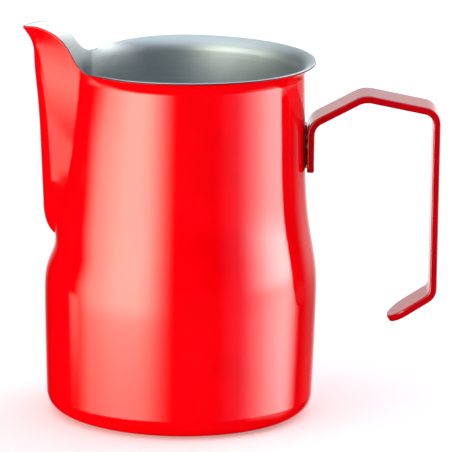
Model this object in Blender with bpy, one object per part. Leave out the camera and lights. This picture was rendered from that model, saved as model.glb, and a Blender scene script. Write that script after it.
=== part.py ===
"""A milk frothing jug: a drawn sheet-steel body with a round belly and a straight neck, a pressed pouring
spout welded into a U-shaped cut on one side, and a bent strip handle spot-welded to the other side.

Sizes are in millimetres here, and the meshes are made in metres. +Z is up and the origin is the centre of
the foot. The spout points to -X and the handle to +X, so the jug is symmetric about the XZ plane.
"""

import math

import bmesh
import bpy
import numpy as np

MM = 0.001

# Body
SHEET = 0.8                 # thickness of the body's and the spout's sheet
RIM_HEIGHT = 109.6          # the flared rim's lower edge on the handle side
SPOUT_RIM_DIP = 0.95        # the rim lies this much lower where it meets the spout
BELLY_RADIUS = 42.0
BELLY_HEIGHT = 34.0         # the widest height
BASE_WALL_INSET = 0.8       # the wall's foot is this much narrower than the belly
BASE_CORNER_RADIUS = 6.0
FOOT_RING_WIDTH = 7.0       # flat ring that the jug stands on
FOOT_RECESS = 0.6           # the middle of the foot is this much higher
FOOT_RECESS_SLOPE = 3.0
NECK_RADIUS = 37.7
NECK_BELOW_RIM = 21.4       # the straight neck starts this far below the rim
THROAT_INSET = 0.4          # the wall draws in slightly just below the flared rim
# The shoulder, as shares of the rise from belly to neck and of the step from neck to belly
SHOULDER = ((0.221, 0.93), (0.351, 0.67), (0.48, 0.385), (0.609, 0.20))

# Flared rim
FLARE_WIDTH = 3.45
FLARE_HEIGHT = 3.9
FLARE_TURN = math.radians(80)
FLARE_FADE = (math.radians(32), math.radians(95))    # no flare before, full flare after
PINCH = 1.4                 # the mouth is drawn in beside the spout
PINCH_FADE = (math.radians(38), math.radians(72))
PINCH_DEPTH = 18.0

# Pouring spout
SPOUT_FOOT = 54.6           # height where the prow leaves the shoulder
BOW_HEIGHT = 10.4           # the prow's rounded foot
BOW_STRETCH = 1.04          # the foot's curve is this much taller than the part of it that shows
BOW_SINK = 0.22             # the prow's foot starts this far inside the wall
PROW_REACH = 5.0            # the prow's distance outside the neck, above its foot
TIP_ABOVE_RIM = 9.7
# The prow's extra reach, at shares of the rise from its foot to the rim and at heights from the rim
PROW_BELOW_RIM = ((0.341, 0.8), (0.744, 2.0))
PROW_ABOVE_RIM = ((0.6, 3.15), (4.9, 3.7), (7.5, 5.0), (TIP_ABOVE_RIM, 6.65))
PROW_FOOT_RADIUS = 15.0     # the prow's radius in plan at its foot
# The prow's radius in plan, at heights from the rim
PROW_RADII = ((-26.0, 15.0), (-9.4, 12.0), (2.6, 7.5), (6.6, 4.8), (TIP_ABOVE_RIM, 2.4))
PROW_RADIUS_LIMIT = 0.9     # share of the largest radius, which leaves each cheek a straight part
CREASE_INSET = math.radians(5.3)     # the cheeks meet the body this far inside the seam
CREASE_BELOW_RIM = 12.6              # the crease runs straight up from this far below the rim
CREASE_SOFTNESS = 0.1
OPENING_POWER = 0.75        # how soon the crease and the seam spread apart above their foot
# The lip, as shares of the seam's half-angle and heights above the rim beside the spout
LIP = (
    (0.0, 10.65), (0.15, 11.5), (0.35, 10.6), (0.5, 8.65),
    (0.62, 6.0), (0.74, 2.8), (0.86, 0.85), (1.0, 0.0),
)
LIP_RISE = 3                # power by which the lip's curve grows from the foot to the rim
DIP_BELOW_FOOT = 2.6        # shallow dish in the shoulder under the spout
DIP_DEPTH = 1.7
DIP_SPREAD = 5.5
DIP_ANGLE = math.radians(35)

# Seam between spout and body
SEAM_ANGLE = math.radians(35.3)
SEAM_BELOW_FOOT = 1.6
SEAM_STRAIGHT_BELOW_RIM = 9.6        # the seam runs straight up from this far below the rim
WELD_WIDTH = 1.2
WELD_GAP = 0.3

# Handle
STRIP_WIDTH = 15.0
STRIP_THICKNESS = 2.2
STRIP_EDGE = 0.4            # chamfer along the strip's edges
TAB_CORNER = 2.0
TAB_GAP = 0.3               # between the tab and the neck
TAB_BOTTOM = -33.4          # heights are measured from the rim
TAB_BEND = (-18.35, 4.9)    # height and centre-line radius of each bend
TOP_BEND = (16.2, -9.65, 7.0)       # distance from the tab, height, radius
GRIP_REACH = 38.5           # from the tab's centre line to the grip's
GRIP_TOP_BEND = (-13.95, 4.3)
GRIP_LOW_BEND = (-71.2, 4.0)
TOE_LENGTH = 16.1
TOE_SLOPE = math.radians(33)
TOE_CORNER = 6.6            # rounding of the toe's corners in plan
NUGGET_RADIUS = 2.5
NUGGET_DEPTH = 0.9          # how far a nugget reaches into the strip
NUGGET_HEIGHTS = {"handle_weld_lower": -29.4, "handle_weld_upper": -22.9}
POCKET_OVERRUN = 1.0        # a pocket's cutter starts this far inside the tab's face

# Levels and angles that follow from the sizes above
NECK_START = RIM_HEIGHT - NECK_BELOW_RIM
THROAT = RIM_HEIGHT - FLARE_HEIGHT
BOW_TOP = SPOUT_FOOT + BOW_HEIGHT
CREASE_ANGLE = SEAM_ANGLE - CREASE_INSET
CREASE_TOP = RIM_HEIGHT - CREASE_BELOW_RIM
DIP_HEIGHT = SPOUT_FOOT - DIP_BELOW_FOOT
SEAM_FOOT = SPOUT_FOOT - SEAM_BELOW_FOOT
SEAM_STRAIGHT = RIM_HEIGHT - SEAM_STRAIGHT_BELOW_RIM

# Facets
SHARP_ANGLE = math.radians(35)
COLUMNS = 64
CORNER_STEPS = 3
WALL_STEPS = 9
SEAM_STEPS = 10
THROAT_STEPS = 2
FLARE_STEPS = 3
SPOUT_COLUMNS = 24
SPOUT_CURVED_ROWS = 12
SPOUT_STRAIGHT_ROWS = 5
BEND_STEPS = 5
END_STEPS = 5
NUGGET_SIDES = 24
TAB_LEVELS = 12             # heights at which the wall behind the tab is measured


def spline(stations):
    """The natural cubic spline through (position, value) stations, as a function."""
    at, value = np.array(stations, float).T
    gap = np.diff(at)
    count = len(at)
    matrix = np.eye(count)
    right = np.zeros(count)
    for i in range(1, count - 1):
        matrix[i, i - 1 : i + 2] = gap[i - 1], 2 * (gap[i - 1] + gap[i]), gap[i]
        right[i] = 6 * ((value[i + 1] - value[i]) / gap[i] - (value[i] - value[i - 1]) / gap[i - 1])
    bend = np.linalg.solve(matrix, right)

    def curve(position):
        i = min(max(int(np.searchsorted(at, position)) - 1, 0), count - 2)
        far = (position - at[i]) / gap[i]
        near = 1 - far
        straight = near * value[i] + far * value[i + 1]
        return straight + ((near**3 - near) * bend[i] + (far**3 - far) * bend[i + 1]) * gap[i] ** 2 / 6

    return curve


def smooth_step(value, start, end):
    share = min(max((value - start) / (end - start), 0.0), 1.0)
    return share * share * (3 - 2 * share)


def soft_max(first, second, softness):
    return (first + second + math.hypot(first - second, softness)) / 2


def wall_stations():
    """(height, radius) up the turned wall, from the base's corner to the throat."""
    rise = NECK_START - BELLY_HEIGHT
    step = BELLY_RADIUS - NECK_RADIUS
    return (
        (BASE_CORNER_RADIUS, BELLY_RADIUS - BASE_WALL_INSET),
        (BELLY_HEIGHT, BELLY_RADIUS),
        *((BELLY_HEIGHT + up * rise, NECK_RADIUS + out * step) for up, out in SHOULDER),
        (NECK_START, NECK_RADIUS),
        (THROAT, NECK_RADIUS - THROAT_INSET),
    )


def prow_stations():
    """(height from the rim, extra reach) up the prow, from the top of its rounded foot to the tip."""
    rise = RIM_HEIGHT - BOW_TOP
    return (-rise, 0.0), *((rise * (up - 1), reach) for up, reach in PROW_BELOW_RIM), *PROW_ABOVE_RIM


turned_wall = spline(wall_stations())
prow_above_foot = spline(prow_stations())
prow_radius_at = spline(((SPOUT_FOOT - RIM_HEIGHT, PROW_FOOT_RADIUS), *PROW_RADII))
lip_at = spline(LIP)


def turned_radius(height):
    """The turned wall, which runs on straight above the throat."""
    return turned_wall(min(height, THROAT))


def body_radius(angle, height):
    """The body's outer radius at an angle from the spout, without the flare and the spout."""
    turn = abs(angle)
    below_rim = max(RIM_HEIGHT - height, 0.0)
    pinch = PINCH * (1 - smooth_step(turn, *PINCH_FADE)) * math.exp(-((below_rim / PINCH_DEPTH) ** 2))
    dip = DIP_DEPTH * math.exp(-(((height - DIP_HEIGHT) / DIP_SPREAD) ** 2) - (turn / DIP_ANGLE) ** 2)
    return turned_radius(height) - pinch - dip


def bow_inset(height):
    """How far the prow's rounded foot has turned in at a height, as a share of the turning's full depth."""
    drop = (BOW_TOP - height) / (BOW_HEIGHT * BOW_STRETCH)
    return 1 - math.sqrt(max(1 - drop * drop, 0.0))


def prow_reach(height):
    """The prow's distance from the axis."""
    straight = NECK_RADIUS + PROW_REACH
    if height >= BOW_TOP:
        return straight + prow_above_foot(height - RIM_HEIGHT)
    foot = body_radius(0.0, SPOUT_FOOT) - BOW_SINK
    return straight - (straight - foot) * bow_inset(height) / bow_inset(SPOUT_FOOT)


def widening(height, foot, top, angle):
    """The half-angle of a curve that opens from nothing at its foot and runs straight up above its top."""
    share = min(max((height - foot) / (top - foot), 0.0), 1.0)
    return angle * math.sin(math.pi / 2 * share**OPENING_POWER)


def trough_radius(angle, height, wall):
    """The spout's outer radius in plan: an arc at the prow and a straight cheek to the crease."""
    reach = prow_reach(height)
    crease = widening(height, SPOUT_FOOT, CREASE_TOP, CREASE_ANGLE)
    crease_x = wall * math.cos(crease)
    crease_y = wall * math.sin(crease)
    if reach <= crease_x or crease <= 0:
        return 0.0
    widest = ((reach - crease_x) ** 2 + crease_y**2) / (2 * (reach - crease_x))
    radius = min(prow_radius_at(height - RIM_HEIGHT), PROW_RADIUS_LIMIT * widest)
    centre = reach - radius
    to_crease = math.hypot(centre - crease_x, crease_y)
    cheek = math.atan2(crease_y, centre - crease_x) - math.asin(radius / to_crease)
    turn = abs(angle)
    if turn < math.atan2(radius * math.cos(cheek), centre + radius * math.sin(cheek)):
        return centre * math.cos(turn) + math.sqrt(radius**2 - (centre * math.sin(turn)) ** 2)
    return (crease_x * math.sin(cheek) + crease_y * math.cos(cheek)) / math.sin(turn + cheek)


def skin_radius(angle, height):
    """The outer radius of body and spout together."""
    wall = body_radius(angle, height)
    if abs(angle) > SEAM_ANGLE or height <= SPOUT_FOOT:
        return wall
    return soft_max(wall, trough_radius(angle, height, body_radius(0.0, height)), CREASE_SOFTNESS)


def from_spout(angle):
    """An angle round the jug, as the turn from the spout's side to either side of it."""
    return min(angle, 2 * math.pi - angle)


def place(angle, radius, height):
    """A point in metres, its angle counted from the spout's side."""
    return (-radius * math.cos(angle) * MM, -radius * math.sin(angle) * MM, height * MM)


def seam_point(share, shift):
    """(half-angle, height) on the seam's curved part, shifted away from the spout in the unrolled wall."""
    width = SEAM_ANGLE * NECK_RADIUS
    rise = SEAM_STRAIGHT - SEAM_FOOT
    along = math.pi / 2 * width * math.cos(math.pi / 2 * share)
    up = 2 * rise * share
    length = math.hypot(along, up)
    arc = width * math.sin(math.pi / 2 * share) + shift * up / length
    return arc / NECK_RADIUS, SEAM_FOOT + rise * share**2 - shift * along / length


def rim_height(angle):
    return RIM_HEIGHT - SPOUT_RIM_DIP * (1 - smooth_step(abs(angle), *FLARE_FADE))


def new_material(name, colour, roughness, metallic):
    material = bpy.data.materials.new(name)
    material.use_nodes = True
    shader = material.node_tree.nodes["Principled BSDF"]
    shader.inputs["Base Color"].default_value = (*colour, 1.0)
    shader.inputs["Roughness"].default_value = roughness
    shader.inputs["Metallic"].default_value = metallic
    return material


def new_object(name, points, faces, material):
    mesh = bpy.data.meshes.new(name)
    mesh.from_pydata(points, [], faces)
    mesh.materials.append(material)
    mesh.shade_smooth()
    mesh.set_sharp_from_angle(angle=SHARP_ANGLE)
    made = bpy.data.objects.new(name, mesh)
    bpy.context.scene.collection.objects.link(made)
    return made


def give_thickness(sheet):
    """Thickens a skin inwards, so that its outer face keeps its place."""
    solidify = sheet.modifiers.new("sheet", "SOLIDIFY")
    solidify.thickness = SHEET * MM
    solidify.offset = -1.0


class Skin:
    """Rows of points joined into quads, each row as long as the one before or closed to a ring."""

    def __init__(self):
        self.points = []
        self.faces = []

    def add_row(self, row):
        first = len(self.points)
        self.points.extend(row)
        return list(range(first, first + len(row)))

    def join(self, low, high):
        """Faces between two rows, counterclockwise seen from outside when the rows run counterclockwise."""
        count = max(len(low), len(high)) if min(len(low), len(high)) > 1 else 0
        if count == 0:
            pole, ring = (low[0], high) if len(low) == 1 else (high[0], low)
            for here, after in zip(ring, ring[1:]):
                self.faces.append((pole, after, here) if len(low) == 1 else (here, after, pole))
            return
        for k in range(count - 1):
            self.faces.append((low[k % len(low)], low[(k + 1) % len(low)], high[k + 1], high[k]))


def closed(row):
    return row + row[:1]


def make_body(material):
    skin = Skin()
    ring = [2 * math.pi * k / COLUMNS for k in range(COLUMNS)]
    foot_radius = BELLY_RADIUS - BASE_WALL_INSET - BASE_CORNER_RADIUS
    recess_radius = foot_radius - FOOT_RING_WIDTH
    outline = [(recess_radius - FOOT_RECESS_SLOPE, FOOT_RECESS), (recess_radius, 0.0)]
    for step in range(CORNER_STEPS):
        turn = math.pi / 2 * step / CORNER_STEPS
        radius = foot_radius + BASE_CORNER_RADIUS * math.sin(turn)
        outline.append((radius, BASE_CORNER_RADIUS * (1 - math.cos(turn))))
    below = skin.add_row([(0.0, 0.0, FOOT_RECESS * MM)])
    for radius, height in outline:
        row = closed(skin.add_row([place(angle, radius, height) for angle in ring]))
        skin.join(below, row)
        below = row
    half_gap = WELD_WIDTH / 2 + WELD_GAP
    cut_foot = seam_point(0.0, half_gap)[1]
    for step in range(WALL_STEPS + 1):
        height = BASE_CORNER_RADIUS + (cut_foot - BASE_CORNER_RADIUS) * step / WALL_STEPS
        row = closed(skin.add_row([place(a, skin_radius(from_spout(a), height), height) for a in ring]))
        skin.join(below, row)
        below = row
    for step in range(1, SEAM_STEPS + 1):
        side, height = seam_point(step / SEAM_STEPS, half_gap)
        below = add_open_row(skin, below, side, lambda angle: (skin_radius(angle, height), height))
    for step in range(1, THROAT_STEPS + 1):
        height = SEAM_STRAIGHT + (THROAT - SEAM_STRAIGHT) * step / THROAT_STEPS
        below = add_open_row(skin, below, side, lambda angle: (skin_radius(angle, height), height))
    for step in range(1, FLARE_STEPS + 1):
        turn = FLARE_TURN * step / FLARE_STEPS
        below = add_open_row(skin, below, side, lambda angle: flared(angle, turn))
    body = new_object("jug_body", skin.points, skin.faces, material)
    give_thickness(body)
    return body


def flared(angle, turn):
    """(radius, height) on the rim's flare, which fades out beside the spout."""
    height = THROAT + (rim_height(angle) - THROAT) * math.sin(turn) / math.sin(FLARE_TURN)
    width = FLARE_WIDTH * smooth_step(angle, *FLARE_FADE)
    return body_radius(angle, height) + width * (1 - math.cos(turn)) / (1 - math.cos(FLARE_TURN)), height


def add_open_row(skin, below, side, at):
    """A row round the back of the jug, from one edge of the spout's cut to the other."""
    row = []
    for k in range(COLUMNS + 1):
        angle = side + (2 * math.pi - 2 * side) * k / COLUMNS
        row.append(place(angle, *at(from_spout(angle))))
    row = skin.add_row(row)
    skin.join(below, row)
    return row


def make_spout(material):
    skin = Skin()
    shift = -(WELD_WIDTH / 2 + WELD_GAP)
    side_rim = rim_height(SEAM_ANGLE)
    foot = seam_point(0.0, shift)[1]
    below = skin.add_row([place(0.0, skin_radius(0.0, foot), foot)])
    levels = [seam_point(step / SPOUT_CURVED_ROWS, shift) for step in range(1, SPOUT_CURVED_ROWS + 1)]
    rise = (side_rim - SEAM_STRAIGHT) / SPOUT_STRAIGHT_ROWS
    widest = levels[-1][0]
    levels += [(widest, SEAM_STRAIGHT + rise * step) for step in range(1, SPOUT_STRAIGHT_ROWS + 1)]
    for side, height in levels:
        lift = ((height - foot) / (side_rim - foot)) ** LIP_RISE
        row = []
        for k in range(SPOUT_COLUMNS + 1):
            share = 2 * k / SPOUT_COLUMNS - 1
            level = height + lift * lip_at(abs(share))
            row.append(place(share * side, skin_radius(share * side, level), level))
        row = skin.add_row(row)
        skin.join(below, row)
        below = row
    spout = new_object("pouring_spout", skin.points, skin.faces, material)
    give_thickness(spout)
    return spout


def make_seam_weld(material):
    """The weld bead: down one side of the spout, round the foot of the cut and up the other side."""
    skin = Skin()
    path = [(step / SEAM_STEPS, None) for step in range(SEAM_STEPS + 1)]
    side_rim = rim_height(SEAM_ANGLE)
    straight_steps = THROAT_STEPS + 1
    rise = (side_rim - SEAM_STRAIGHT) / straight_steps
    path += [(1.0, SEAM_STRAIGHT + rise * step) for step in range(1, straight_steps + 1)]
    whole = [(-1, *p) for p in reversed(path[1:])] + [(1, *p) for p in path]
    rows = []
    for sign, share, level in whole:
        row = []
        for shift in (-WELD_WIDTH / 2, WELD_WIDTH / 2):
            side, height = seam_point(share, shift)
            height = height if level is None else level
            row.append(place(sign * side, skin_radius(side, height), height))
        rows.append(skin.add_row(row))
    for (inner, outer), (next_inner, next_outer) in zip(rows, rows[1:]):
        skin.faces.append((outer, next_outer, next_inner, inner))
    weld = new_object("spout_seam_weld", skin.points, skin.faces, material)
    give_thickness(weld)
    return weld


def tab_face():
    """The distance from the axis to the tab's inner face, which clears the widest wall behind the tab."""
    heights = np.linspace(RIM_HEIGHT + TAB_BOTTOM, RIM_HEIGHT + TAB_BEND[0], TAB_LEVELS)
    return max(turned_radius(height) for height in heights) + TAB_GAP


def handle_corners():
    """The strip's centre line, as (x, z, bend radius), from the tab's lower end to the toe."""
    tab = tab_face() + STRIP_THICKNESS / 2
    grip = tab + GRIP_REACH
    toe_x = grip - TOE_LENGTH * math.cos(TOE_SLOPE)
    toe_z = GRIP_LOW_BEND[0] - TOE_LENGTH * math.sin(TOE_SLOPE)
    corners = (
        (tab, TAB_BOTTOM, 0.0),
        (tab, *TAB_BEND),
        (tab + TOP_BEND[0], *TOP_BEND[1:]),
        (grip, *GRIP_TOP_BEND),
        (grip, *GRIP_LOW_BEND),
        (toe_x, toe_z, 0.0),
    )
    return [(np.array((x, RIM_HEIGHT + z)), radius) for x, z, radius in corners]


def bent_line(corners):
    """Points along straight runs joined by arcs."""
    line = [corners[0][0]]
    for (before, _), (corner, radius), (after, _) in zip(corners, corners[1:], corners[2:]):
        to_before = (before - corner) / np.linalg.norm(before - corner)
        to_after = (after - corner) / np.linalg.norm(after - corner)
        half = math.acos(float(np.clip(to_before @ to_after, -1, 1))) / 2
        middle = (to_before + to_after) / np.linalg.norm(to_before + to_after)
        centre = corner + middle * radius / math.sin(half)
        start = corner + to_before * radius / math.tan(half) - centre
        end = corner + to_after * radius / math.tan(half) - centre
        sweep = math.pi - 2 * half
        for step in range(BEND_STEPS + 1):
            share = step / BEND_STEPS
            blend = (math.sin((1 - share) * sweep) * start + math.sin(share * sweep) * end) / math.sin(sweep)
            line.append(centre + blend)
    line.append(corners[-1][0])
    return line


def end_steps(corner):
    """Distances from a rounded end, from near nothing to the corner's radius, at even turns."""
    turns = [math.pi / 2 * step / END_STEPS for step in range(1, END_STEPS + 1)]
    return [corner * (1 - math.cos(turn)) for turn in turns]


def half_width(distance, corner):
    """Half the strip's width at a distance from an end with rounded corners."""
    inside = max(corner - distance, 0.0)
    return STRIP_WIDTH / 2 - corner + math.sqrt(max(corner**2 - inside**2, 0.0))


def strip_stations():
    """(point, direction, half-width) along the strip, with extra stations at its rounded ends."""
    line = bent_line(handle_corners())
    first = (line[1] - line[0]) / np.linalg.norm(line[1] - line[0])
    last = (line[-1] - line[-2]) / np.linalg.norm(line[-1] - line[-2])
    stations = [(line[0] + first * d, first, half_width(d, TAB_CORNER)) for d in end_steps(TAB_CORNER)]
    for before, here, after in zip(line, line[1:-1], line[2:]):
        along_before = (here - before) / np.linalg.norm(here - before)
        along_after = (after - here) / np.linalg.norm(after - here)
        along = along_before + along_after
        stations.append((here, along / np.linalg.norm(along), STRIP_WIDTH / 2))
    for d in reversed(end_steps(TOE_CORNER)):
        stations.append((line[-1] - last * d, last, half_width(d, TOE_CORNER)))
    return stations


def make_handle(material):
    half = STRIP_THICKNESS / 2
    points = []
    for (x, z), (along_x, along_z), width in strip_stations():
        section = (
            (width, half - STRIP_EDGE),
            (width - STRIP_EDGE, half),
            (STRIP_EDGE - width, half),
            (-width, half - STRIP_EDGE),
            (-width, STRIP_EDGE - half),
            (STRIP_EDGE - width, -half),
            (width - STRIP_EDGE, -half),
            (width, STRIP_EDGE - half),
        )
        points += [((x - side * along_z) * MM, y * MM, (z + side * along_x) * MM) for y, side in section]
    loop = len(section)
    faces = [tuple(range(loop)), tuple(range(len(points) - 1, len(points) - 1 - loop, -1))]
    for first in range(0, len(points) - loop, loop):
        for k in range(loop):
            after = (k + 1) % loop
            faces.append((first + k, first + loop + k, first + loop + after, first + after))
    handle = new_object("handle_strip", points, faces, material)
    made = bmesh.new()
    made.from_mesh(handle.data)
    bmesh.ops.recalc_face_normals(made, faces=made.faces)
    made.to_mesh(handle.data)
    made.free()
    for name, height in NUGGET_HEIGHTS.items():
        start = tab_face() - POCKET_OVERRUN
        end = tab_face() + NUGGET_DEPTH
        pocket = make_disc(f"{name}_pocket", start, end, height, NUGGET_RADIUS + WELD_GAP, material)
        pocket.hide_render = True
        pocket.display_type = "WIRE"
        cut = handle.modifiers.new(name, "BOOLEAN")
        cut.operation = "DIFFERENCE"
        cut.solver = "EXACT"
        cut.object = pocket
    return handle


def make_disc(name, inner, outer, height, radius, material):
    """A short round bar along X, between two distances from the jug's axis."""
    turns = [2 * math.pi * k / NUGGET_SIDES for k in range(NUGGET_SIDES)]
    level = RIM_HEIGHT + height
    points = []
    for x in (inner, outer):
        for turn in turns:
            points.append((x * MM, radius * math.cos(turn) * MM, (level + radius * math.sin(turn)) * MM))
    faces = [tuple(range(NUGGET_SIDES - 1, -1, -1)), tuple(range(NUGGET_SIDES, 2 * NUGGET_SIDES))]
    for k in range(NUGGET_SIDES):
        after = (k + 1) % NUGGET_SIDES
        faces.append((k, after, NUGGET_SIDES + after, NUGGET_SIDES + k))
    return new_object(name, points, faces, material)


def make_nuggets(material):
    for name, height in NUGGET_HEIGHTS.items():
        level = RIM_HEIGHT + height
        wall = max(turned_radius(level - NUGGET_RADIUS), turned_radius(level + NUGGET_RADIUS))
        end = tab_face() + NUGGET_DEPTH - WELD_GAP
        make_disc(name, wall + WELD_GAP, end, height, NUGGET_RADIUS, material)


def main():
    for old in list(bpy.data.objects):
        bpy.data.objects.remove(old)
    red = (0.8, 0.0, 0.01)
    body_lacquer = new_material("body_lacquer", red, 0.22, 0.0)
    spout_lacquer = new_material("spout_lacquer", red, 0.2, 0.0)
    handle_lacquer = new_material("handle_lacquer", red, 0.28, 0.0)
    weld_metal = new_material("weld_metal", (0.55, 0.55, 0.56), 0.35, 1.0)
    make_body(body_lacquer)
    make_spout(spout_lacquer)
    make_seam_weld(weld_metal)
    make_handle(handle_lacquer)
    make_nuggets(weld_metal)


main()
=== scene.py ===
"""A studio picture of the red milk frothing jug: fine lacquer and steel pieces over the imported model."""

import math

import bpy
import numpy as np
from mathutils import Matrix


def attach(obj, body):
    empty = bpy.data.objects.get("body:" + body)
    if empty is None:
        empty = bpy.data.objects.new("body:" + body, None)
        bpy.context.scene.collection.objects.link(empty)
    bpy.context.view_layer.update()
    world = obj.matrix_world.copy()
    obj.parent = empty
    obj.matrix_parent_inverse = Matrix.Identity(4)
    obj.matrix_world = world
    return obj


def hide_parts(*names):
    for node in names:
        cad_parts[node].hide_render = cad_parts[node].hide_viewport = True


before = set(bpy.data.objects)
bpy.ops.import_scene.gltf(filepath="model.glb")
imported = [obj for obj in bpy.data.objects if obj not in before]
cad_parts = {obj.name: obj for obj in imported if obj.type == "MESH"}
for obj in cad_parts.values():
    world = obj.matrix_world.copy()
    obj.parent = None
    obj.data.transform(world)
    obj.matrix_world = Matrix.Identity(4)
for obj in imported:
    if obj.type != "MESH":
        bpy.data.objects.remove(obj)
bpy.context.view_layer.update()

MM = 0.001

# Body, in millimetres, as the frame is built
SHEET = 0.8
COAT = 0.1                  # the lacquer's thickness, within the sheet's
RIM_HEIGHT = 109.6
SPOUT_RIM_DIP = 0.95
BELLY_RADIUS = 42.0
BELLY_HEIGHT = 34.0
BASE_WALL_INSET = 0.8
BASE_CORNER_RADIUS = 6.0
FOOT_RING_WIDTH = 7.0
FOOT_RECESS = 0.6
FOOT_RECESS_SLOPE = 3.0
FOOT_MIDDLE_RINGS = (2.0, 8.0, 16.0)
FOOT_EDGE_ROOM = 0.5        # a ring this far inside the edge of each flat part keeps its shading flat
NECK_RADIUS = 37.7
NECK_BELOW_RIM = 21.4
THROAT_INSET = 0.4
SHOULDER = ((0.221, 0.93), (0.351, 0.67), (0.48, 0.385), (0.609, 0.20))
FLARE_WIDTH = 3.45
FLARE_HEIGHT = 3.9
FLARE_TURN = math.radians(80)
FLARE_FADE = (math.radians(32), math.radians(95))
PINCH = 1.4
PINCH_FADE = (math.radians(38), math.radians(72))
PINCH_DEPTH = 18.0
EDGE_PROUD = 0.24           # how far the sheet's rounded edge stands past its flat faces
COAT_TURNS = np.radians((0, 10, 20, 30, 40, 50, 58))            # round the edge, from the outside
CUT_TURNS = np.radians((50, 62, 74, 86, 98, 110, 122))
STEEL_TURNS = np.radians((112, 124, 136, 148, 164, 180))
CUT_SINK = 0.02             # the near-black cut edge lies this much under the round edge
STEEL_SINK = 0.01

# Spout
SPOUT_FOOT = 54.6
BOW_HEIGHT = 10.4
BOW_STRETCH = 1.04
BOW_SINK = 0.22
PROW_REACH = 5.0
TIP_ABOVE_RIM = 9.7
PROW_BELOW_RIM = ((0.341, 0.8), (0.744, 2.0))
PROW_ABOVE_RIM = ((0.6, 3.15), (4.9, 3.7), (7.5, 5.0), (TIP_ABOVE_RIM, 6.65))
PROW_FOOT_RADIUS = 15.0
PROW_RADII = ((-26.0, 15.0), (-9.4, 12.0), (2.6, 7.5), (6.6, 4.8), (TIP_ABOVE_RIM, 2.4))
PROW_RADIUS_LIMIT = 0.9
CREASE_INSET = math.radians(5.3)
CREASE_BELOW_RIM = 12.6
CREASE_SOFTNESS = 0.1
CREASE_SHARES = (0.5, 0.9)  # the least and the most of the seam's angle that the creases' columns take
CREASE_CLOSE = (6.0, 3.0, 1.5, 0.6)     # columns close before the crease, in steps
CREASE_CLOSE_STEP = 0.004
CHEEK_SHARE = 0.97          # the even columns end here
OPENING_POWER = 0.75
LIP = (
    (0.0, 10.65), (0.15, 11.5), (0.35, 10.6), (0.5, 8.65),
    (0.62, 6.0), (0.74, 2.8), (0.86, 0.85), (1.0, 0.0),
)
LIP_RISE = 3
DIP_BELOW_FOOT = 2.6
DIP_DEPTH = 1.7
DIP_SPREAD = 5.5
DIP_ANGLE = math.radians(35)
SEAM_ANGLE = math.radians(35.3)
SEAM_BELOW_FOOT = 1.6
SEAM_STRAIGHT_BELOW_RIM = 9.6
WELD_WIDTH = 1.2
BEAD_CROWN = 0.07           # the ground seam stands this much proud inside
BEAD_SINK = 0.01
BEAD_COLUMNS = 9

# Handle
STRIP_WIDTH = 15.0
STRIP_THICKNESS = 2.2
STRIP_EDGE = 0.45
TAB_CORNER = 2.0
TAB_GAP = 0.3
TAB_BOTTOM = -33.4
TAB_BEND = (-18.35, 4.9)
TOP_BEND = (16.2, -9.65, 7.0)
GRIP_REACH = 38.5
GRIP_TOP_BEND = (-13.95, 4.3)
GRIP_LOW_BEND = (-71.2, 4.0)
TOE_LENGTH = 16.1
TOE_SLOPE = math.radians(33)
TOE_CORNER = 6.6
SHADE_SHEET_SIDES = np.linspace(-2.4, 2.4, 9)      # across the sheet behind the tab that darkens the gap: painted shade
SHADE_SHEET_SHORT = 0.8                            # it stops this far inside the tab's ends
SHADE_SHEET_CLEAR = 0.03
SHADE_SHEET_LEVELS = 9

# Levels and angles that follow
NECK_START = RIM_HEIGHT - NECK_BELOW_RIM
THROAT = RIM_HEIGHT - FLARE_HEIGHT
BOW_TOP = SPOUT_FOOT + BOW_HEIGHT
CREASE_ANGLE = SEAM_ANGLE - CREASE_INSET
CREASE_TOP = RIM_HEIGHT - CREASE_BELOW_RIM
DIP_HEIGHT = SPOUT_FOOT - DIP_BELOW_FOOT
SEAM_FOOT = SPOUT_FOOT - SEAM_BELOW_FOOT
SEAM_STRAIGHT = RIM_HEIGHT - SEAM_STRAIGHT_BELOW_RIM

# Fineness
COLUMNS = 240
RECESS_STEPS = 9
CORNER_STEPS = 10
WALL_STEPS = 50
SEAM_STEPS = 64
THROAT_STEPS = 6
FLARE_STEPS = 14
SPOUT_STRAIGHT_STEPS = 18
CHEEK_STEPS = 44
CREASE_STEPS = 10
SEAM_TOP_STEPS = 10
TAB_STEPS = 12
STRIP_EDGE_STEPS = 6
STRIP_END_STEPS = 15
STRIP_BEND_STEPS = 16
STRIP_COLUMNS = 13
STRIP_SPACING = 2.5
STRIP_COLUMN_ROOM = 0.15
SAME_LENGTH = 1e-4
SHARP_ANGLE = math.radians(50)

# Camera, in metres and radians, with its lens and sensor in millimetres
CAMERA_PLACE = (0.013785, -1.47651, 0.38944)
CAMERA_PITCH = 0.2209156
CAMERA_ROLL = 0.0151021
CAMERA_LENS = 390.3
CAMERA_SENSOR = 36.0

# Floor, in metres
FLOOR_REACH = 4.0
FLOOR_SIDE = 9              # points along each side
FLOOR_DROP = 0.0002
FLOOR_TONES = (0.93, 0.95)
FLOOR_PAINTED_GLOW = 0.2            # painted glow: the floor emits light so that the shade under the jug stays pale

# The lacquer's darkest and lightest tone: the share of its red, and its blue
LACQUER_TONES = ((0.96, 0.0022), (1.04, 0.0032))
STEEL_DULL = 0.86           # the darkest grain's share of the steel's colour


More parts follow.
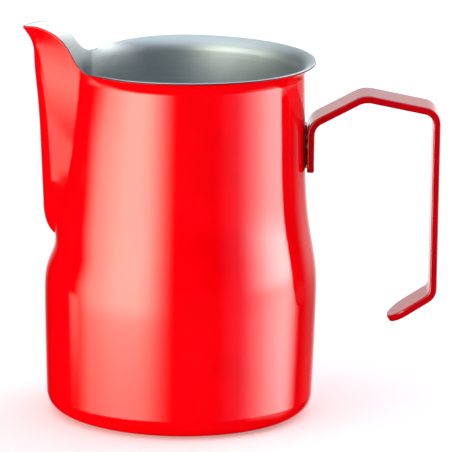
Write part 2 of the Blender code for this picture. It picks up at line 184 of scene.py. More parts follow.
def spline(stations):
    """The natural cubic spline through (position, value) stations, as a function of an array."""
    at, value = np.array(stations, float).T
    gap = np.diff(at)
    count = len(at)
    matrix = np.eye(count)
    right = np.zeros(count)
    for i in range(1, count - 1):
        matrix[i, i - 1 : i + 2] = gap[i - 1], 2 * (gap[i - 1] + gap[i]), gap[i]
        right[i] = 6 * ((value[i + 1] - value[i]) / gap[i] - (value[i] - value[i - 1]) / gap[i - 1])
    bend = np.linalg.solve(matrix, right)

    def curve(position):
        i = np.clip(np.searchsorted(at, position) - 1, 0, count - 2)
        far = (position - at[i]) / gap[i]
        near = 1 - far
        straight = near * value[i] + far * value[i + 1]
        return straight + ((near**3 - near) * bend[i] + (far**3 - far) * bend[i + 1]) * gap[i] ** 2 / 6

    return curve


def smooth_step(value, start, end):
    """Nought before start, one after end, and an S between."""
    share = np.clip((value - start) / (end - start), 0.0, 1.0)
    return share * share * (3 - 2 * share)


def wall_stations():
    """(height, radius) stations of the turned wall, from the base corner to the throat."""
    rise = NECK_START - BELLY_HEIGHT
    step = BELLY_RADIUS - NECK_RADIUS
    return (
        (BASE_CORNER_RADIUS, BELLY_RADIUS - BASE_WALL_INSET),
        (BELLY_HEIGHT, BELLY_RADIUS),
        *((BELLY_HEIGHT + up * rise, NECK_RADIUS + out * step) for up, out in SHOULDER),
        (NECK_START, NECK_RADIUS),
        (THROAT, NECK_RADIUS - THROAT_INSET),
    )


def prow_stations():
    """(height over the rim, reach past the neck) stations of the prow above its foot."""
    rise = RIM_HEIGHT - BOW_TOP
    return (-rise, 0.0), *((rise * (up - 1), reach) for up, reach in PROW_BELOW_RIM), *PROW_ABOVE_RIM


turned_wall = spline(wall_stations())
prow_above_foot = spline(prow_stations())
prow_radius_at = spline(((SPOUT_FOOT - RIM_HEIGHT, PROW_FOOT_RADIUS), *PROW_RADII))
lip_at = spline(LIP)


def turned_radius(height):
    """The turned wall's outer radius, which stays the throat's above the throat."""
    return turned_wall(np.minimum(height, THROAT))


def body_radius(turn, height):
    """The body's outer radius at a turn from the spout, without the flare and the spout."""
    below_rim = np.maximum(RIM_HEIGHT - height, 0.0)
    pinch = PINCH * (1 - smooth_step(turn, *PINCH_FADE)) * np.exp(-((below_rim / PINCH_DEPTH) ** 2))
    dip = DIP_DEPTH * np.exp(-(((height - DIP_HEIGHT) / DIP_SPREAD) ** 2) - (turn / DIP_ANGLE) ** 2)
    return turned_radius(height) - pinch - dip


def bow_inset(height):
    """How far the prow's rounded foot falls back, as a share of its depth."""
    drop = np.clip((BOW_TOP - height) / (BOW_HEIGHT * BOW_STRETCH), 0.0, 1.0)
    return 1 - np.sqrt(1 - drop * drop)


def prow_reach(height):
    """The prow's distance from the axis."""
    straight = NECK_RADIUS + PROW_REACH
    foot = body_radius(0.0, SPOUT_FOOT) - BOW_SINK
    below = straight - (straight - foot) * bow_inset(height) / bow_inset(SPOUT_FOOT)
    return np.where(height >= BOW_TOP, straight + prow_above_foot(height - RIM_HEIGHT), below)


def widening(height, foot, top, angle):
    """A half-angle that opens from nought at the foot to the whole angle at the top."""
    share = np.clip((height - foot) / (top - foot), 0.0, 1.0)
    return angle * np.sin(math.pi / 2 * share**OPENING_POWER)


def trough_radius(turn, height):
    """The spout's outer radius in plan: an arc at the prow and a straight cheek to the crease."""
    wall = body_radius(0.0, height)
    reach = prow_reach(height)
    crease = widening(height, SPOUT_FOOT, CREASE_TOP, CREASE_ANGLE)
    crease_x = wall * np.cos(crease)
    crease_y = wall * np.sin(crease)
    proud = np.maximum(reach - crease_x, 1e-6)
    widest = (proud**2 + crease_y**2) / (2 * proud)
    radius = np.minimum(prow_radius_at(height - RIM_HEIGHT), PROW_RADIUS_LIMIT * widest)
    centre = reach - radius
    to_crease = np.maximum(np.hypot(centre - crease_x, crease_y), 1e-6)
    cheek = np.arctan2(crease_y, centre - crease_x) - np.arcsin(np.clip(radius / to_crease, -1, 1))
    arc = centre * np.cos(turn) + np.sqrt(np.maximum(radius**2 - (centre * np.sin(turn)) ** 2, 0.0))
    across = np.maximum(np.sin(turn + cheek), 1e-6)
    flat = (crease_x * np.sin(cheek) + crease_y * np.cos(cheek)) / across
    on_prow = turn < np.arctan2(radius * np.cos(cheek), centre + radius * np.sin(cheek))
    return np.where((reach > crease_x) & (crease > 0), np.where(on_prow, arc, flat), 0.0)


def skin_radius(turn, height):
    """The outer radius of body and spout together."""
    wall = body_radius(turn, height)
    trough = trough_radius(turn, height)
    both = (wall + trough + np.hypot(wall - trough, CREASE_SOFTNESS)) / 2
    return np.where((turn <= SEAM_ANGLE) & (height > SPOUT_FOOT), both, wall)


def rim_height(turn):
    """The rim's height at a turn from the spout."""
    return RIM_HEIGHT - SPOUT_RIM_DIP * (1 - smooth_step(turn, *FLARE_FADE))


def skin_point(angle, level, flares):
    """Points of the outer skin. Where it flares, levels above the throat run round the rim's flare."""
    turn = np.abs((angle + math.pi) % (2 * math.pi) - math.pi)
    radius = skin_radius(turn, level)
    height = level
    if flares:
        bend = np.maximum(level - THROAT, 0.0) / FLARE_HEIGHT * FLARE_TURN
        width = FLARE_WIDTH * smooth_step(turn, *FLARE_FADE)
        up = THROAT + (rim_height(turn) - THROAT) * np.sin(bend) / math.sin(FLARE_TURN)
        out = body_radius(turn, up) + width * (1 - np.cos(bend)) / (1 - math.cos(FLARE_TURN))
        radius = np.where(level > THROAT, out, radius)
        height = np.where(level > THROAT, up, level)
    return np.stack([-radius * np.cos(angle), -radius * np.sin(angle), height], -1)


def unit(vectors):
    return vectors / np.maximum(np.linalg.norm(vectors, axis=-1, keepdims=True), 1e-12)


def skin(angle, level, flares=True):
    """(points, outward normals) of the outer skin."""
    near = 5e-4
    low = 0.02
    round_it = skin_point(angle + near, level, flares) - skin_point(angle - near, level, flares)
    up_it = skin_point(angle, level + low, flares) - skin_point(angle, level - low, flares)
    return skin_point(angle, level, flares), unit(np.cross(round_it, up_it))


def seam_point(share, shift):
    """(half-angle, height) on the seam's curved part, shifted away from the spout in the unrolled wall."""
    width = SEAM_ANGLE * NECK_RADIUS
    rise = SEAM_STRAIGHT - SEAM_FOOT
    along = math.pi / 2 * width * np.cos(math.pi / 2 * share)
    up = 2 * rise * share
    length = np.hypot(along, up)
    arc = width * np.sin(math.pi / 2 * share) + shift * up / length
    return arc / NECK_RADIUS, SEAM_FOOT + rise * share**2 - shift * along / length


def foot_rows(columns):
    """Points and normals of the foot: a shallow recess, a flat ring and the rounded corner."""
    foot_radius = BELLY_RADIUS - BASE_WALL_INSET - BASE_CORNER_RADIUS
    recess_radius = foot_radius - FOOT_RING_WIDTH
    radii = [*FOOT_MIDDLE_RINGS, recess_radius - FOOT_RECESS_SLOPE - FOOT_EDGE_ROOM]
    radii += list(np.linspace(recess_radius - FOOT_RECESS_SLOPE, recess_radius, RECESS_STEPS))
    radii += [recess_radius + FOOT_EDGE_ROOM, foot_radius - FOOT_EDGE_ROOM]
    profile = []
    for radius in radii:
        share = smooth_step(radius, recess_radius - FOOT_RECESS_SLOPE, recess_radius)
        profile.append((radius, FOOT_RECESS * (1 - share)))
    for turn in np.linspace(0, math.pi / 2, CORNER_STEPS, endpoint=False):
        across = foot_radius + BASE_CORNER_RADIUS * math.sin(turn)
        profile.append((across, BASE_CORNER_RADIUS * (1 - math.cos(turn))))
    profile = np.array(profile)
    along = np.gradient(profile, axis=0)
    normal = unit(np.stack([along[:, 1], -along[:, 0]], -1))
    angle = np.linspace(0, 2 * math.pi, columns + 1)
    round_it = np.stack([-np.cos(angle), -np.sin(angle)], -1)
    level = np.zeros_like(angle)
    rows = []
    ways = []
    for (radius, height), (out, up) in zip(profile, normal):
        rows.append(np.column_stack([radius * round_it, level + height]))
        ways.append(np.column_stack([out * round_it, level + up]))
    return rows, ways


def edge_rows(points, normals, turns, radius):
    """Rows round the sheet's rounded edge, above a last row of outer points."""
    depth = 2 * EDGE_PROUD / SHEET
    edge = unit(np.gradient(points, axis=0))
    out = unit(np.cross(normals, edge))
    out = np.where(out[:, 2:] < 0, -out, out)
    centre = points - out * EDGE_PROUD - normals * SHEET / 2
    rows = []
    ways = []
    for turn in turns:
        rows.append(centre + normals * radius * math.cos(turn) + out * radius * math.sin(turn) * depth)
        ways.append(unit(normals * math.cos(turn) + out * math.sin(turn)))
    return rows, ways


def add_mesh(name, points, faces, material):
    """A mesh object in the scene, from points in metres."""
    mesh = bpy.data.meshes.new(name)
    mesh.from_pydata(points, [], faces)
    mesh.materials.append(material)
    made = bpy.data.objects.new(name, mesh)
    bpy.context.scene.collection.objects.link(made)
    return made


def surface(name, rows, normals, closed, material, cap=None):
    """A surface through rows of points; a closed row ends where it starts."""
    rows = np.array(rows)
    normals = np.array(normals)
    count, width = rows.shape[:2]
    grid = np.arange(count * width).reshape(count, width)
    grid[np.array(closed), -1] = grid[np.array(closed), 0]
    quads = np.stack([grid[:-1, :-1], grid[:-1, 1:], grid[1:, 1:], grid[1:, :-1]], -1).reshape(-1, 4)
    faces = quads.tolist()
    if cap == "first":
        faces.append(grid[0, :-1][::-1].tolist())
    if cap == "last":
        faces.append(grid[-1, :-1].tolist())
    used = np.unique(np.concatenate([np.ravel(f) for f in faces]))
    index = np.zeros(count * width, int)
    index[used] = np.arange(len(used))
    points = (rows.reshape(-1, 3)[used] * MM).tolist()
    made = add_mesh(name, points, [[int(index[v]) for v in f] for f in faces], material)
    made.data.shade_smooth()
    made.data.normals_split_custom_set_from_vertices(unit(normals.reshape(-1, 3)[used]).tolist())
    return made


def lerp_levels(start, end, steps):
    """Even levels after the start, up to the end."""
    return [start + (end - start) * step / steps for step in range(1, steps + 1)]


def body_rows():
    """(rows, normals, closed) of the body's outer skin, from the foot's middle to the rim."""
    rows, ways = foot_rows(COLUMNS)
    closed = [True] * len(rows)
    whole = np.linspace(0, 2 * math.pi, COLUMNS + 1)
    for level in [BASE_CORNER_RADIUS, *lerp_levels(BASE_CORNER_RADIUS, SEAM_FOOT, WALL_STEPS)]:
        point, way = skin(whole, np.full(COLUMNS + 1, level))
        rows.append(point)
        ways.append(way)
        closed.append(True)
    levels = [seam_point(step / SEAM_STEPS, 0.0) for step in range(1, SEAM_STEPS + 1)]
    levels += [(SEAM_ANGLE, level) for level in lerp_levels(SEAM_STRAIGHT, THROAT, THROAT_STEPS)]
    levels += [(SEAM_ANGLE, level) for level in lerp_levels(THROAT, RIM_HEIGHT, FLARE_STEPS)]
    for side, level in levels:
        angle = np.linspace(side, 2 * math.pi - side, COLUMNS + 1)
        point, way = skin(angle, np.full(COLUMNS + 1, level))
        rows.append(point)
        ways.append(way)
        closed.append(False)
    return rows, ways, closed


def spout_rows():
    """(rows, normals) of the spout's outer skin, from the seam's foot to the lip."""
    side_rim = float(rim_height(SEAM_ANGLE))
    levels = [seam_point(step / SEAM_STEPS, 0.0) for step in range(1, SEAM_STEPS + 1)]
    levels += [(SEAM_ANGLE, level) for level in lerp_levels(SEAM_STRAIGHT, side_rim, SPOUT_STRAIGHT_STEPS)]
    cheek = np.linspace(0, 1, CHEEK_STEPS + 1)
    rows = []
    ways = []
    for side, level in levels:
        least, most = (share * side for share in CREASE_SHARES)
        crease = max(float(widening(level, SPOUT_FOOT, CREASE_TOP, CREASE_ANGLE)), least)
        crease = min(crease, most)
        past = np.linspace(crease, side, CREASE_STEPS + 1)
        close = crease * (1 - CREASE_CLOSE_STEP * np.array(CREASE_CLOSE))
        half = np.unique(np.concatenate([cheek * crease * CHEEK_SHARE, close, past]))
        angle = np.concatenate([-half[::-1], half[1:]])
        lift = ((level - SEAM_FOOT) / (side_rim - SEAM_FOOT)) ** LIP_RISE
        heights = level + lift * lip_at(np.abs(angle) / side)
        point, way = skin(angle, heights, flares=False)
        rows.append(point)
        ways.append(way)
    return rows, ways


def add_edge(rows, ways, closed):
    """Three surfaces over the sheet's edge: the coat, the cut edge painted near-black as shade, and the
    steel down the inside.
    """
    coat_edge, coat_ways = edge_rows(rows[-1], ways[-1], COAT_TURNS, SHEET / 2)
    under, under_ways = edge_rows(rows[-1], ways[-1], COAT_TURNS[-1:], SHEET / 2 - COAT)
    coat = (rows[:-1] + coat_edge + under, ways[:-1] + coat_ways + under_ways)
    cut, cut_ways = edge_rows(rows[-1], ways[-1], CUT_TURNS, SHEET / 2 - CUT_SINK)
    steel_edge, steel_ways = edge_rows(rows[-1], ways[-1], STEEL_TURNS, SHEET / 2 - STEEL_SINK)
    steel = steel_edge + [point - way * SHEET for point, way in zip(rows[-2::-1], ways[-2::-1])]
    inner_ways = steel_ways + [-way for way in ways[-2::-1]]
    coat_closed = closed[:-1] + [False] * (len(coat_edge) + 1)
    steel_closed = [False] * len(steel_edge) + closed[-2::-1]
    return (*coat, coat_closed), (cut, cut_ways, [False] * len(cut)), (steel, inner_ways, steel_closed)


def make_body(lacquer, dark_edge_paint, steel):
    """The body: lacquer outside, steel inside, and the cut edge between, painted near-black as shade."""
    coat, cut, inside = add_edge(*body_rows())
    outer = surface("jug_body_lacquer", *coat, lacquer, cap="first")
    edge = surface("jug_body_cut_edge", *cut, dark_edge_paint)
    inner = surface("jug_body_steel", *inside, steel, cap="last")
    for piece in (outer, edge, inner):
        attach(piece, "root")
        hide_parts("jug_body")


def make_spout(lacquer, dark_edge_paint, steel):
    """The spout: lacquer outside, steel inside, and the cut edge between, painted near-black as shade."""
    rows, ways = spout_rows()
    coat, cut, inside = add_edge(rows, ways, [False] * len(rows))
    outer = surface("pouring_spout_lacquer", *coat, lacquer)
    edge = surface("pouring_spout_cut_edge", *cut, dark_edge_paint)
    inner = surface("pouring_spout_steel", *inside, steel)
    for piece in (outer, edge, inner):
        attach(piece, "root")
        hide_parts("pouring_spout")


def make_seam(steel):
    """The ground weld bead, slightly proud of the inner face on both sides of the spout."""
    side_rim = float(rim_height(SEAM_ANGLE)) - EDGE_PROUD
    path = [(step / SEAM_STEPS, None) for step in range(SEAM_STEPS + 1)]
    path += [(1.0, level) for level in lerp_levels(SEAM_STRAIGHT, side_rim, SEAM_TOP_STEPS)]
    whole = [(-1, *p) for p in reversed(path[1:])] + [(1, *p) for p in path]
    across = np.linspace(-1, 1, BEAD_COLUMNS)
    rows = []
    ways = []
    for sign, share, level in whole:
        side, height = seam_point(share, across * WELD_WIDTH / 2)
        height = height if level is None else np.full(len(across), level)
        point, way = skin(sign * side, height, flares=False)
        crown = BEAD_CROWN * np.sqrt(1 - across**2) - BEAD_SINK
        rows.append(point - way * (SHEET + crown)[:, None])
        ways.append(way)
    rows = np.array(rows)
    along = np.gradient(rows, axis=0)
    over = np.gradient(rows, axis=1)
    normal = unit(np.cross(over, along))
    normal *= -np.sign(np.sum(normal * np.array(ways), -1, keepdims=True))
    bead = surface("spout_seam_bead", rows[:, ::-1], normal[:, ::-1], [False] * len(rows), steel)
    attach(bead, "root")
    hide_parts("spout_seam_weld")


def handle_line():
    """The strip's centre line as (length, point, heading) pieces: straight runs and arcs."""
    levels = np.linspace(RIM_HEIGHT + TAB_BOTTOM, RIM_HEIGHT + TAB_BEND[0], TAB_STEPS)
    tab = float(turned_radius(levels).max()) + TAB_GAP + STRIP_THICKNESS / 2
    grip = tab + GRIP_REACH
    toe_x = grip - TOE_LENGTH * math.cos(TOE_SLOPE)
    toe_z = GRIP_LOW_BEND[0] - TOE_LENGTH * math.sin(TOE_SLOPE)
    corners = (
        (tab, TAB_BOTTOM, 0.0),
        (tab, *TAB_BEND),
        (tab + TOP_BEND[0], *TOP_BEND[1:]),
        (grip, *GRIP_TOP_BEND),
        (grip, *GRIP_LOW_BEND),
        (toe_x, toe_z, 0.0),
    )
    corners = [(np.array((x, RIM_HEIGHT + z)), radius) for x, z, radius in corners]
    pieces = []
    at = corners[0][0]
    for (before, _), (corner, radius), (after, _) in zip(corners, corners[1:], corners[2:]):
        into = unit(corner - before)
        away = unit(after - corner)
        sweep = math.atan2(into[0] * away[1] - into[1] * away[0], float(into @ away))
        cut = radius * math.tan(abs(sweep) / 2)
        start = corner - into * cut
        pieces.append((float(np.linalg.norm(start - at)), at, into, 0.0))
        pieces.append((abs(sweep) * radius, start, into, math.copysign(1 / radius, sweep)))
        at = corner + away * cut
    last = corners[-1][0]
    pieces.append((float(np.linalg.norm(last - at)), at, unit(last - at), 0.0))
    return pieces


def on_line(pieces, length):
    """(point, heading) at a length along the centre line."""
    for place, (span, start, heading, bend) in enumerate(pieces):
        if length <= span or place == len(pieces) - 1:
            break
        length -= span
    if bend == 0:
        return start + heading * length, heading
    side = np.array((-heading[1], heading[0]))
    turn = bend * length
    point = start + heading * math.sin(turn) / bend + side * (1 - math.cos(turn)) / bend
    return point, heading * math.cos(turn) + side * math.sin(turn)


def round_drops(radius, count):
    """Distances from a straight edge, at even turns round its rounding."""
    return [radius * (1 - math.cos(turn)) for turn in np.linspace(0, math.pi / 2, count)]


def strip_stations(pieces, total):
    """Lengths along the strip for its rings, close together at the ends and round the bends."""
    stations = {0.0, total}
    for corner, mirrored in ((TAB_CORNER, False), (TOE_CORNER, True)):
        for distance in round_drops(STRIP_EDGE, STRIP_EDGE_STEPS) + round_drops(corner, STRIP_END_STEPS):
            stations.add(total - distance if mirrored else distance)
    reached = 0.0
    for span, _, _, bend in pieces:
        count = STRIP_BEND_STEPS if bend else max(int(span / STRIP_SPACING), 1)
        stations |= {reached + span * step / count for step in range(count + 1)}
        reached += span
    stations = sorted(s for s in stations if 0 <= s <= total)
    return [s for s, before in zip(stations, [-1.0] + stations) if s - before > SAME_LENGTH]


def strip_ring(pieces, total, length):
    """The ring of points round the strip, with its rounded edges and ends, at a length along it."""
    from_toe = total - length
    corner, distance = (TAB_CORNER, length) if length < from_toe else (TOE_CORNER, from_toe)
    inside = max(corner - distance, 0.0)
    width = STRIP_WIDTH / 2 - corner + math.sqrt(max(corner**2 - inside**2, 0.0))
    side = np.array([width - step for step in round_drops(STRIP_EDGE, STRIP_EDGE_STEPS)])
    inner = np.linspace(-1, 1, STRIP_COLUMNS)[1:-1] * (side[-1] - STRIP_COLUMN_ROOM)
    y = np.concatenate([-side, inner, side[::-1]])
    over_corner = np.abs(y) - (STRIP_WIDTH / 2 - corner)
    gap = np.where(
        (over_corner > 0) & (inside > 0),
        corner - np.hypot(over_corner, inside),
        np.minimum(STRIP_WIDTH / 2 - np.abs(y), distance),
    )
    shy = np.clip(STRIP_EDGE - gap, 0.0, STRIP_EDGE)
    thick = STRIP_THICKNESS / 2 - STRIP_EDGE + np.sqrt(np.maximum(STRIP_EDGE**2 - shy**2, 0.0))
    point, heading = on_line(pieces, length)
    out = np.array((-heading[1], heading[0]))
    ring = []
    for sign, order in ((1, slice(None)), (-1, slice(None, None, -1))):
        for across, rise in zip(y[order], sign * thick[order]):
            ring.append((point[0] + rise * out[0], across, point[1] + rise * out[1]))
    return ring


def tube(rows):
    """(grid, faces) of the quads between closed rings of points."""
    count, loop = rows.shape[:2]
    grid = np.arange(count * loop).reshape(count, loop)
    after = np.roll(grid, -1, axis=1)
    return grid, np.stack([grid[:-1], grid[1:], after[1:], after[:-1]], -1).reshape(-1, 4).tolist()


def make_handle(lacquer):
    """The bent strip, closed at both ends by quads across its thickness."""
    pieces = handle_line()
    total = sum(piece[0] for piece in pieces)
    rows = np.array([strip_ring(pieces, total, length) for length in strip_stations(pieces, total)])
    grid, faces = tube(rows)
    loop = grid.shape[1]
    for row, turned in ((grid[0], False), (grid[-1], True)):
        for k in range(loop // 2 - 1):
            face = [int(v) for v in (row[k], row[k + 1], row[loop - 2 - k], row[loop - 1 - k])]
            faces.append(face[::-1] if turned else face)
    made = add_mesh("handle_strip_lacquer", (rows.reshape(-1, 3) * MM).tolist(), faces, lacquer)
    made.data.shade_smooth()
    made.data.set_sharp_from_angle(angle=SHARP_ANGLE)
    weighted = made.modifiers.new("even_shading", "WEIGHTED_NORMAL")
    weighted.keep_sharp = True
    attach(made, "root")
    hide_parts("handle_strip")


def make_gap_shade_sheet(lacquer):
    """A lacquered sheet in the gap behind the handle's tab, put there to darken the gap: painted shade."""
    low = RIM_HEIGHT + TAB_BOTTOM + SHADE_SHEET_SHORT
    high = RIM_HEIGHT + TAB_BEND[0] - SHADE_SHEET_SHORT
    far = handle_line()[0][1][0] - STRIP_THICKNESS / 2 - SHADE_SHEET_CLEAR
    rows = []
    for level in np.linspace(low, high, SHADE_SHEET_LEVELS):
        near = np.sqrt(float(turned_radius(level)) ** 2 - SHADE_SHEET_SIDES**2) + SHADE_SHEET_CLEAR
        ring = [(far, y, level) for y in SHADE_SHEET_SIDES]
        ring += [(x, y, level) for x, y in zip(near[::-1], SHADE_SHEET_SIDES[::-1])]
        rows.append(ring)
    rows = np.array(rows)
    grid, faces = tube(rows)
    faces += [grid[0].tolist(), grid[-1][::-1].tolist()]
    shade_sheet = add_mesh("handle_gap_shade_sheet", (rows.reshape(-1, 3) * MM).tolist(), faces, lacquer)
    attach(shade_sheet, "root")
    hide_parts("handle_strip")


class Nodes:
    """Short calls for building a node tree."""

    def __init__(self, tree):
        self.tree = tree

    def new(self, kind, **settings):
        node = self.tree.nodes.new(kind)
        for key, value in settings.items():
            setattr(node, key, value)
        return node

    def feed(self, target, value):
        if isinstance(value, bpy.types.NodeSocket):
            self.tree.links.new(value, target)
        else:
            target.default_value = value

    def math(self, operation, *values):
        node = self.new("ShaderNodeMath", operation=operation)
        for socket, value in zip(node.inputs, values):
            self.feed(socket, value)
        return node.outputs[0]

    def ramp(self, value, start, end, low=0.0, high=1.0):
        node = self.new("ShaderNodeMapRange", interpolation_type="SMOOTHSTEP")
        for key, item in (("From Min", start), ("From Max", end), ("To Min", low), ("To Max", high)):
            self.feed(node.inputs[key], item)
        self.feed(node.inputs["Value"], value)
        return node.outputs["Result"]

    def noise(self, vector, scale, detail, roughness=0.5):
        node = self.new("ShaderNodeTexNoise")
        self.feed(node.inputs["Vector"], vector)
        self.feed(node.inputs["Scale"], scale)
        self.feed(node.inputs["Detail"], detail)
        self.feed(node.inputs["Roughness"], roughness)
        return node.outputs["Fac"]

    def scaled(self, vector, share):
        node = self.new("ShaderNodeVectorMath", operation="SCALE")
        node.inputs[0].default_value = vector
        self.feed(node.inputs["Scale"], share)
        return node.outputs[0]

    def mix_colour(self, share, first, second):
        node = self.new("ShaderNodeMix", data_type="RGBA")
        self.feed(node.inputs["Factor"], share)
        node.inputs[6].default_value = (*first, 1.0)
        node.inputs[7].default_value = (*second, 1.0)
        return node.outputs[2]

    def bump(self, height, strength, distance):
        node = self.new("ShaderNodeBump")
        self.feed(node.inputs["Strength"], strength)
        self.feed(node.inputs["Distance"], distance)
        self.feed(node.inputs["Height"], height)
        return node.outputs["Normal"]


def new_material(name):
    """(material, node calls, shader) of a new material."""
    material = bpy.data.materials.new(name)
    material.use_nodes = True
    nodes = Nodes(material.node_tree)
    return material, nodes, material.node_tree.nodes["Principled BSDF"]


def lacquer_material(name, roughness, red):
    """Glossy red lacquer with a faint orange peel and slight unevenness of tone."""
    material, nodes, shader = new_material(name)
    place = nodes.new("ShaderNodeTexCoord").outputs["Object"]
    tone = nodes.noise(place, 60.0, 3.0)
    deep, light = ((share * red, 0.0, blue) for share, blue in LACQUER_TONES)
    nodes.feed(shader.inputs["Base Color"], nodes.mix_colour(nodes.ramp(tone, 0.35, 0.65), deep, light))
    peel = nodes.noise(place, 700.0, 2.0)
    normal = nodes.bump(peel, 0.05, 0.0002)
    nodes.feed(shader.inputs["Normal"], normal)
    nodes.feed(shader.inputs["Coat Normal"], normal)
    nodes.feed(shader.inputs["Roughness"], nodes.ramp(peel, 0.3, 0.7, roughness, roughness + 0.06))
    shader.inputs["IOR"].default_value = 1.5
    shader.inputs["Specular IOR Level"].default_value = 0.0
    shader.inputs["Coat Weight"].default_value = 1.0
    shader.inputs["Coat Roughness"].default_value = 0.06
    shader.inputs["Coat IOR"].default_value = 1.5
    return material


def steel_material(name, colour, roughness, fine):
    """Satin steel, brushed round the jug's axis."""
    material, nodes, shader = new_material(name)
    place = nodes.new("ShaderNodeSeparateXYZ")
    nodes.feed(place.inputs[0], nodes.new("ShaderNodeTexCoord").outputs["Object"])
    x, y, z = place.outputs
    turn = nodes.math("ARCTAN2", y, x)
    squares = nodes.math("ADD", nodes.math("MULTIPLY", x, x), nodes.math("MULTIPLY", y, y))
    reach = nodes.math("SQRT", squares)
    lines = nodes.new("ShaderNodeCombineXYZ")
    nodes.feed(lines.inputs[0], nodes.math("MULTIPLY", turn, 2.0))
    nodes.feed(lines.inputs[1], nodes.math("MULTIPLY", reach, fine))
    nodes.feed(lines.inputs[2], nodes.math("MULTIPLY", z, fine))
    grain = nodes.noise(lines.outputs[0], 1.0, 3.0, 0.6)
    dull = tuple(STEEL_DULL * c for c in colour)
    nodes.feed(shader.inputs["Base Color"], nodes.mix_colour(nodes.ramp(grain, 0.3, 0.7), dull, colour))
    nodes.feed(shader.inputs["Roughness"], nodes.ramp(grain, 0.3, 0.7, roughness, roughness + 0.1))
    nodes.feed(shader.inputs["Normal"], nodes.bump(grain, 0.08, 0.0001))
    shader.inputs["Metallic"].default_value = 1.0
    shader.inputs["Anisotropic"].default_value = 0.5
    shader.inputs["Anisotropic Rotation"].default_value = 0.25
    tangent = nodes.new("ShaderNodeTangent", direction_type="RADIAL", axis="Z")
    nodes.feed(shader.inputs["Tangent"], tangent.outputs[0])
    return material


def floor_material():
    """Matt pale floor, with a faint painted glow that keeps the shade under the jug pale."""
    material, nodes, shader = new_material("studio_floor")
    place = nodes.new("ShaderNodeTexCoord").outputs["Object"]
    tone = nodes.noise(place, 3.0, 2.0)
    dark, pale = ((grey, grey, grey) for grey in FLOOR_TONES)
    nodes.feed(shader.inputs["Base Color"], nodes.mix_colour(tone, dark, pale))
    shader.inputs["Roughness"].default_value = 0.9
    shader.inputs["Specular IOR Level"].default_value = 0.1
    shader.inputs["Emission Color"].default_value = (1.0, 1.0, 1.0, 1.0)
    shader.inputs["Emission Strength"].default_value = FLOOR_PAINTED_GLOW
    return material


def make_floor():
    """A plain pale floor."""
    steps = np.linspace(-FLOOR_REACH, FLOOR_REACH, FLOOR_SIDE)
    points = [(x, y, -FLOOR_DROP) for y in steps for x in steps]
    grid = np.arange(FLOOR_SIDE**2).reshape(FLOOR_SIDE, FLOOR_SIDE)
    corners = (grid[:-1, :-1], grid[:-1, 1:], grid[1:, 1:], grid[1:, :-1])
    faces = np.stack(corners, -1).reshape(-1, 4).tolist()
    floor = add_mesh("studio_floor", points, faces, floor_material())
    floor.visible_glossy = False


# Studio panels, each with the four ends of a soft band of azimuth, in degrees to the right of the viewing
# side, the same for the sine of the elevation, then brightness and tint
PANELS = (
    # A broad warm panel on the left, brightest in the middle, with a faint far edge
    ((-102, -80, -38, -4), (-0.45, -0.15, 0.12, 0.40), 4.9, (1.0, 1.0, 0.78)),
    ((-92, -48, -38, -4), (-0.45, -0.15, 0.12, 0.40), 5.9, (1.0, 1.0, 0.88)),
    ((-110, -103, -99, -93), (-0.30, -0.25, -0.20, -0.15), 1.6, (1.0, 1.0, 0.8)),
    # A panel on the right, brighter at the top, with a dim foot and a cool near edge
    ((50, 92, 98, 123), (-0.38, -0.27, 0.06, 0.24), 7.0, (1.0, 1.0, 0.97)),
    ((50, 92, 98, 123), (-0.15, 0.00, 0.06, 0.24), 4.8, (1.0, 1.0, 1.0)),
    ((60, 80, 100, 125), (-0.65, -0.45, -0.38, -0.27), 1.0, (1.0, 1.0, 1.0)),
    ((30, 60, 62, 75), (-0.45, -0.25, 0.10, 0.32), 0.6, (0.9, 0.8, 1.3)),
    # A raised panel behind it on the right
    ((95, 108, 140, 160), (0.12, 0.25, 0.40, 0.70), 3.5, (0.97, 1.0, 1.0)),
    # The pale backdrop, and its foot
    ((124, 145, 190, 210), (-0.35, 0.05, 0.30, 0.60), 1.0, (0.97, 0.99, 1.0)),
    ((150, 175, 186, 200), (-0.70, -0.35, -0.10, 0.05), 0.7, (1.0, 1.0, 1.0)),
)
OVERHEAD = (0.3, 0.9, 1.2)      # the sines of the elevation where it starts and is full, then brightness
OVERHEAD_TINT = (0.85, 0.97, 1.05)


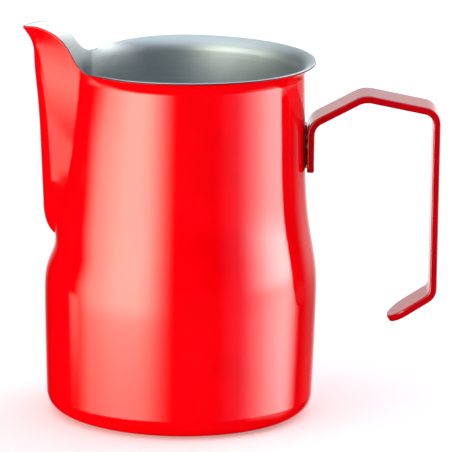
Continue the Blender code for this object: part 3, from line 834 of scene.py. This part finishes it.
def make_studio():
    """Soft panels round the object on a dark surround, and a white backdrop that only the camera sees."""
    world = bpy.data.worlds.new("studio")
    bpy.context.scene.world = world
    world.use_nodes = True
    nodes = Nodes(world.node_tree)
    split = nodes.new("ShaderNodeSeparateXYZ")
    nodes.feed(split.inputs[0], nodes.new("ShaderNodeTexCoord").outputs["Generated"])
    x, y, z = split.outputs
    azimuth = nodes.math("ARCTAN2", x, nodes.math("MULTIPLY", y, -1.0))
    from_behind = nodes.math("ARCTAN2", nodes.math("MULTIPLY", x, -1.0), y)
    start, full, strength = OVERHEAD
    total = nodes.scaled(OVERHEAD_TINT, nodes.ramp(z, start, full, 0.0, strength))
    for sides, heights, strength, tint in PANELS:
        behind = max(sides) > 180
        start, full, fade, end = (math.radians(side - 180 * behind) for side in sides)
        around = from_behind if behind else azimuth
        past = nodes.ramp(around, fade, end, 1.0, 0.0)
        wide = nodes.math("MULTIPLY", nodes.ramp(around, start, full), past)
        start, full, fade, end = heights
        tall = nodes.math("MULTIPLY", nodes.ramp(z, start, full), nodes.ramp(z, fade, end, 1.0, 0.0))
        panel = nodes.scaled(tint, nodes.math("MULTIPLY", nodes.math("MULTIPLY", wide, tall), strength))
        both = nodes.new("ShaderNodeVectorMath", operation="ADD")
        nodes.feed(both.inputs[0], total)
        nodes.feed(both.inputs[1], panel)
        total = both.outputs[0]
    lights = world.node_tree.nodes["Background"]
    nodes.feed(lights.inputs["Color"], total)
    backdrop = nodes.new("ShaderNodeBackground")
    backdrop.inputs["Color"].default_value = (1.0, 1.0, 1.0, 1.0)
    pick = nodes.new("ShaderNodeMixShader")
    nodes.feed(pick.inputs[0], nodes.new("ShaderNodeLightPath").outputs["Is Camera Ray"])
    nodes.feed(pick.inputs[1], lights.outputs[0])
    nodes.feed(pick.inputs[2], backdrop.outputs[0])
    nodes.feed(world.node_tree.nodes["World Output"].inputs["Surface"], pick.outputs[0])


def make_camera():
    """A long lens, looking down a little from above the rim, and rolled slightly."""
    right = np.array((1.0, 0.0, 0.0))
    ahead = np.array((0.0, math.cos(CAMERA_PITCH), -math.sin(CAMERA_PITCH)))
    up = np.array((0.0, math.sin(CAMERA_PITCH), math.cos(CAMERA_PITCH)))
    turned_right = math.cos(CAMERA_ROLL) * right + math.sin(CAMERA_ROLL) * up
    turned_up = -math.sin(CAMERA_ROLL) * right + math.cos(CAMERA_ROLL) * up
    data = bpy.data.cameras.new("camera")
    data.sensor_width = CAMERA_SENSOR
    data.lens = CAMERA_LENS
    data.clip_start = 0.05
    data.clip_end = 50.0
    camera = bpy.data.objects.new("camera", data)
    bpy.context.scene.collection.objects.link(camera)
    turn = Matrix(np.stack([turned_right, turned_up, -ahead], axis=1).tolist()).to_4x4()
    camera.matrix_world = Matrix.Translation(CAMERA_PLACE) @ turn
    bpy.context.scene.camera = camera


def main():
    """Materials, the jug's pieces, the studio and the camera."""
    bpy.context.scene.view_settings.view_transform = "Standard"
    body_lacquer = lacquer_material("body_lacquer_gloss", 0.3, 0.83)
    spout_lacquer = lacquer_material("spout_lacquer_gloss", 0.3, 0.83)
    # The handle gets the body's lacquer at half the red: a darker copy, painted shade on the strip
    shaded_handle_lacquer = lacquer_material("handle_lacquer_shaded_copy", 0.34, 0.42)
    steel = steel_material("satin_steel", (0.66, 0.70, 0.715), 0.46, 5000.0)
    # The spout's steel is the body's steel made darker: a shaded copy, painted shade inside the spout
    shaded_spout_steel = steel_material("spout_steel_shaded_copy", (0.50, 0.53, 0.54), 0.44, 5000.0)
    weld_steel = steel_material("ground_weld", (0.62, 0.64, 0.66), 0.45, 4000.0)
    # The cut edge's near-black colour is painted shade along the rim and the lip, not the steel's own
    # colour
    edge_painted_dark = steel_material("cut_edge_painted_shade", (0.045, 0.042, 0.042), 0.5, 4000.0)
    make_body(body_lacquer, edge_painted_dark, steel)
    make_spout(spout_lacquer, edge_painted_dark, shaded_spout_steel)
    make_seam(weld_steel)
    make_handle(shaded_handle_lacquer)
    make_gap_shade_sheet(shaded_handle_lacquer)
    for name in ("handle_weld_upper", "handle_weld_lower"):
        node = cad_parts[name]
        node.data.materials.clear()
        node.data.materials.append(weld_steel)
    make_floor()
    make_studio()
    make_camera()


main()
